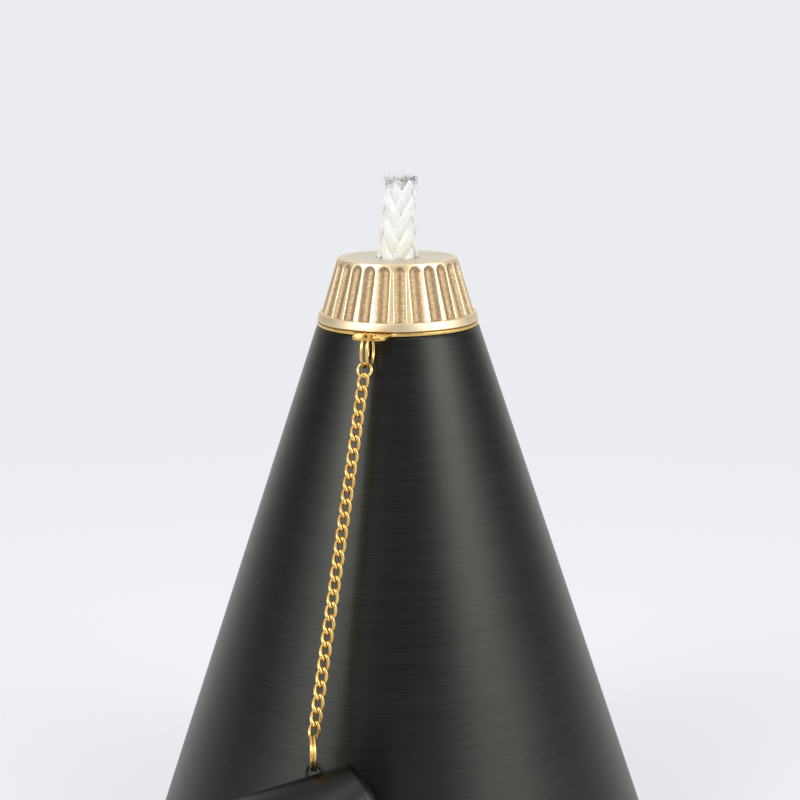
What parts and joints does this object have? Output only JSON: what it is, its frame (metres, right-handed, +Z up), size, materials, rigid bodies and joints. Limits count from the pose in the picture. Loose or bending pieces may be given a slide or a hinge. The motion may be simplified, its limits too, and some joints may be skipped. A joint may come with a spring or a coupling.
{
  "type": "tabletop torch",
  "caption": "Black conical tabletop oil torch with a fluted brass burner, rope wick, and a conical snuffer hung on a brass chain.",
  "frame": {"origin": "centre of the foot pad's underside, on the table", "axes": "+Z up along the cone's axis; -Y is the front; the chain and snuffer hang at the front left"},
  "size_m": [0.1716, 0.2, 0.2306],
  "materials": {
    "black_steel": "brushed round the axis and plated gunmetal black, satin lacquer",
    "zinc_steel": "bright zinc plate",
    "pad_foam": "matte closed-cell foam rubber",
    "bush_brass": "as turned",
    "gasket_rubber": "matte",
    "gasket_fibre": "dark vulcanised fibre",
    "tank_steel": "tinned, spun",
    "gold_brass": "polished yellow brass",
    "satin_brass": "satin champagne brass, fine blasted grain",
    "wick_rope": "plaited glass-fibre rope, charred at the tip"
  },
  "bodies": {
    "stand": {"cone_shell": "black_steel", "base_plate": "black_steel", "base_screws": "zinc_steel", "foot_pad": "pad_foam", "neck_bush": "bush_brass", "neck_gasket": "gasket_rubber", "fuel_tank": "tank_steel", "tank_bottom": "tank_steel"},
    "lug": {"lug_washer": "gold_brass"},
    "seat_washer": {"fibre_washer": "gasket_fibre"},
    "burner": {"wick_holder": "satin_brass", "wick_tube": "tank_steel"},
    "wick_rope": {"wick": "wick_rope"},
    "upper_ring": {"upper_split_ring": "gold_brass"},
    "chain_a": {"chain_link_01": "gold_brass", "chain_link_02": "gold_brass", "chain_link_03": "gold_brass", "chain_link_04": "gold_brass", "chain_link_05": "gold_brass", "chain_link_06": "gold_brass", "chain_link_07": "gold_brass"},
    "chain_b": {"chain_link_08": "gold_brass", "chain_link_09": "gold_brass", "chain_link_10": "gold_brass", "chain_link_11": "gold_brass", "chain_link_12": "gold_brass", "chain_link_13": "gold_brass", "chain_link_14": "gold_brass"},
    "chain_c": {"chain_link_15": "gold_brass", "chain_link_16": "gold_brass", "chain_link_17": "gold_brass", "chain_link_18": "gold_brass", "chain_link_19": "gold_brass", "chain_link_20": "gold_brass", "chain_link_21": "gold_brass"},
    "chain_d": {"chain_link_22": "gold_brass", "chain_link_23": "gold_brass", "chain_link_24": "gold_brass", "chain_link_25": "gold_brass", "chain_link_26": "gold_brass", "chain_link_27": "gold_brass", "chain_link_28": "gold_brass", "chain_link_29": "gold_brass"},
    "lower_ring": {"lower_split_ring": "gold_brass"},
    "snuffer": {"snuffer_cap": "black_steel", "snuffer_eye": "black_steel"}
  },
  "joints": [
    {"name": "burner_lift", "type": "slide", "parent": "stand", "child": "lug", "axis": [0, 0, 1], "range_m": [0, 0.12]},
    {"name": "burner_rise", "type": "slide", "parent": "lug", "child": "seat_washer", "axis": [0, 0, 1], "range_m": [0, 0.0045]},
    {"name": "burner_unscrew", "type": "hinge", "parent": "seat_washer", "child": "burner", "pos_m": [0, 0, 0.1863], "axis": [0, 0, 1], "range_deg": [0, 1080]},
    {"name": "wick_feed", "type": "slide", "parent": "burner", "child": "wick_rope", "axis": [0, 0, 1], "range_m": [-0.01, 0.015]},
    {"name": "upper_ring_swing", "type": "hinge", "parent": "lug", "child": "upper_ring", "pos_m": [-0.00904, -0.03153, 0.18195], "axis": [-0.9323, 0.3616, 0], "range_deg": [0, 60]},
    {"name": "chain_sway", "type": "hinge", "parent": "upper_ring", "child": "chain_a", "pos_m": [-0.00961, -0.033, 0.17819], "axis": [-0.3334, -0.8595, 0.3875], "range_deg": [-15, 15]},
    {"name": "chain_bend_1", "type": "hinge", "parent": "chain_a", "child": "chain_b", "pos_m": [-0.01325, -0.04238, 0.15427], "axis": [-0.9323, 0.3616, 0], "range_deg": [0, 30]},
    {"name": "chain_bend_2", "type": "hinge", "parent": "chain_b", "child": "chain_c", "pos_m": [-0.01693, -0.05186, 0.13007], "axis": [-0.9323, 0.3616, 0], "range_deg": [0, 30]},
    {"name": "chain_bend_3", "type": "hinge", "parent": "chain_c", "child": "chain_d", "pos_m": [-0.02061, -0.06134, 0.10587], "axis": [-0.9323, 0.3616, 0], "range_deg": [0, 30]},
    {"name": "lower_ring_swing", "type": "hinge", "parent": "chain_d", "child": "lower_ring", "pos_m": [-0.02483, -0.07455, 0.07458], "axis": [-0.9994, 0.0349, 0], "range_deg": [0, 40]},
    {"name": "snuffer_swing", "type": "hinge", "parent": "lower_ring", "child": "snuffer", "pos_m": [-0.02492, -0.0771, 0.07051], "axis": [0.0296, 0.8475, -0.5299], "range_deg": [0, 20]}
  ],
  "couplings": [
    {"joint": "burner_rise", "follows": "burner_unscrew", "m_per_rad": 0.00023873}
  ]
}
